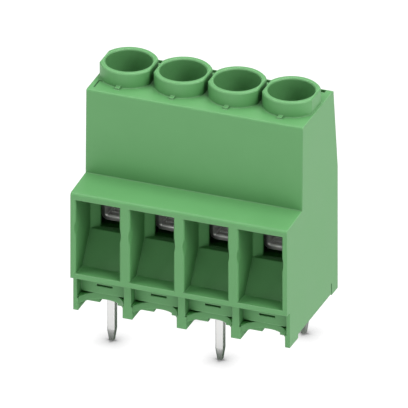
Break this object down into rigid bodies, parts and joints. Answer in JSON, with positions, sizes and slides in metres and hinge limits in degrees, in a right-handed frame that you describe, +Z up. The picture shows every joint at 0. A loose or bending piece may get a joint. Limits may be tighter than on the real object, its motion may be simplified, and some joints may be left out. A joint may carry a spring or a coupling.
{
  "type": "pcb screw terminal",
  "caption": "Screw terminal block for a circuit board: high-wall housing with rising clamp sleeves, driver collars on top, wire funnels in front and zigzag solder pins.",
  "frame": {"origin": "middle of the zigzag pattern of solder pins, on the surface of the circuit board (the underside of the feet)", "axes": "+X along the row of poles, +Y away from the wire entries, +Z up from the board"},
  "size_m": [0.0304, 0.0186, 0.0386],
  "materials": {
    "housing_plastic": "moulded green plastic, fine satin texture",
    "sleeve_metal": "bright nickel-plated sheet",
    "contact_tin": "satin tin plating on copper alloy",
    "screw_steel": "zinc-plated steel"
  },
  "bodies": {
    "housing": {"housing": "housing_plastic", "contact_bar_1": "contact_tin", "contact_bar_2": "contact_tin", "contact_bar_3": "contact_tin", "contact_bar_4": "contact_tin"},
    "clamp_screw_1": {"clamp_screw_1": "screw_steel"},
    "clamp_sleeve_1": {"clamp_sleeve_1": "sleeve_metal"},
    "clamp_screw_2": {"clamp_screw_2": "screw_steel"},
    "clamp_sleeve_2": {"clamp_sleeve_2": "sleeve_metal"},
    "clamp_screw_3": {"clamp_screw_3": "screw_steel"},
    "clamp_sleeve_3": {"clamp_sleeve_3": "sleeve_metal"},
    "clamp_screw_4": {"clamp_screw_4": "screw_steel"},
    "clamp_sleeve_4": {"clamp_sleeve_4": "sleeve_metal"}
  },
  "joints": [
    {"name": "screw_turn_1", "type": "hinge", "parent": "housing", "child": "clamp_screw_1", "pos_m": [-0.01143, 0.0008, 0.02], "axis": [0, 0, -1], "range_deg": [0, 2160]},
    {"name": "sleeve_rise_1", "type": "slide", "parent": "housing", "child": "clamp_sleeve_1", "axis": [0, 0, 1], "range_m": [0, 0.003]},
    {"name": "screw_turn_2", "type": "hinge", "parent": "housing", "child": "clamp_screw_2", "pos_m": [-0.00381, 0.0008, 0.02], "axis": [0, 0, -1], "range_deg": [0, 2160]},
    {"name": "sleeve_rise_2", "type": "slide", "parent": "housing", "child": "clamp_sleeve_2", "axis": [0, 0, 1], "range_m": [0, 0.003]},
    {"name": "screw_turn_3", "type": "hinge", "parent": "housing", "child": "clamp_screw_3", "pos_m": [0.00381, 0.0008, 0.02], "axis": [0, 0, -1], "range_deg": [0, 2160]},
    {"name": "sleeve_rise_3", "type": "slide", "parent": "housing", "child": "clamp_sleeve_3", "axis": [0, 0, 1], "range_m": [0, 0.003]},
    {"name": "screw_turn_4", "type": "hinge", "parent": "housing", "child": "clamp_screw_4", "pos_m": [0.01143, 0.0008, 0.02], "axis": [0, 0, -1], "range_deg": [0, 2160]},
    {"name": "sleeve_rise_4", "type": "slide", "parent": "housing", "child": "clamp_sleeve_4", "axis": [0, 0, 1], "range_m": [0, 0.003]}
  ],
  "couplings": [
    {"joint": "screw_turn_1", "follows": "sleeve_rise_1", "rad_per_m": 12566},
    {"joint": "screw_turn_2", "follows": "sleeve_rise_2", "rad_per_m": 12566},
    {"joint": "screw_turn_3", "follows": "sleeve_rise_3", "rad_per_m": 12566},
    {"joint": "screw_turn_4", "follows": "sleeve_rise_4", "rad_per_m": 12566}
  ]
}
